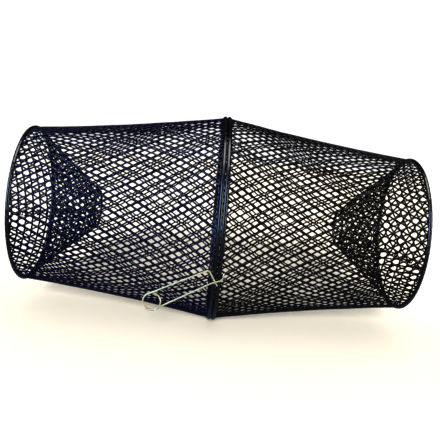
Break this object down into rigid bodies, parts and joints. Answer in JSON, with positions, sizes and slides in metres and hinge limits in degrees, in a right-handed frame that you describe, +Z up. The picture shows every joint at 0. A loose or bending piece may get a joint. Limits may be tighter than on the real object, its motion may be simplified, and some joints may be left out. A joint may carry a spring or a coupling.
{
  "type": "crab trap",
  "caption": "Two-half biconical wire mesh crab trap with an entry funnel at each end and a spring clip at the middle.",
  "frame": {"origin": "on the trap's axis, in the plane where the two halves meet, which is the centre of the whole trap", "axes": "+X along the trap's axis towards the right half, -Y towards the spring clip's side, +Z up"},
  "size_m": [0.4636, 0.2516, 0.2478],
  "materials": {
    "left_mesh": "gloss",
    "right_mesh": "gloss",
    "rim": "gloss",
    "seam_ring": "gloss",
    "hinge_ring": "satin",
    "clip_wire": "satin"
  },
  "bodies": {
    "left_half": {"left_body_mesh": "left_mesh", "left_mid_rim": "rim", "left_end_rim": "rim", "left_funnel_mesh": "left_mesh", "left_throat_ring": "rim", "left_body_seam_rings": "seam_ring", "left_funnel_seam_rings": "seam_ring", "hinge_rings": "hinge_ring"},
    "right_half": {"right_body_mesh": "right_mesh", "right_mid_rim": "rim", "right_end_rim": "rim", "right_funnel_mesh": "right_mesh", "right_throat_ring": "rim", "right_body_seam_rings": "seam_ring", "right_funnel_seam_rings": "seam_ring"},
    "spring_clip": {"clip_coil_leg": "clip_wire"},
    "clip_catch": {"clip_catch_leg": "clip_wire"}
  },
  "joints": [
    {"name": "half_hinge", "type": "hinge", "parent": "left_half", "child": "right_half", "pos_m": [0, 0.11511, 0.04768], "axis": [0, -0.3827, 0.9239], "range_deg": [0, 150]},
    {"name": "clip_swing", "type": "hinge", "parent": "left_half", "child": "spring_clip", "pos_m": [0.006, -0.11678, -0.04837], "axis": [0, -0.0698, 0.9976], "range_deg": [0, 100]},
    {"name": "catch_open", "type": "hinge", "parent": "spring_clip", "child": "clip_catch", "pos_m": [-0.0666, -0.11467, -0.0786], "axis": [0, -0.9976, -0.0698], "range_deg": [0, 14], "stiffness_Nm_per_rad": 0.4}
  ]
}
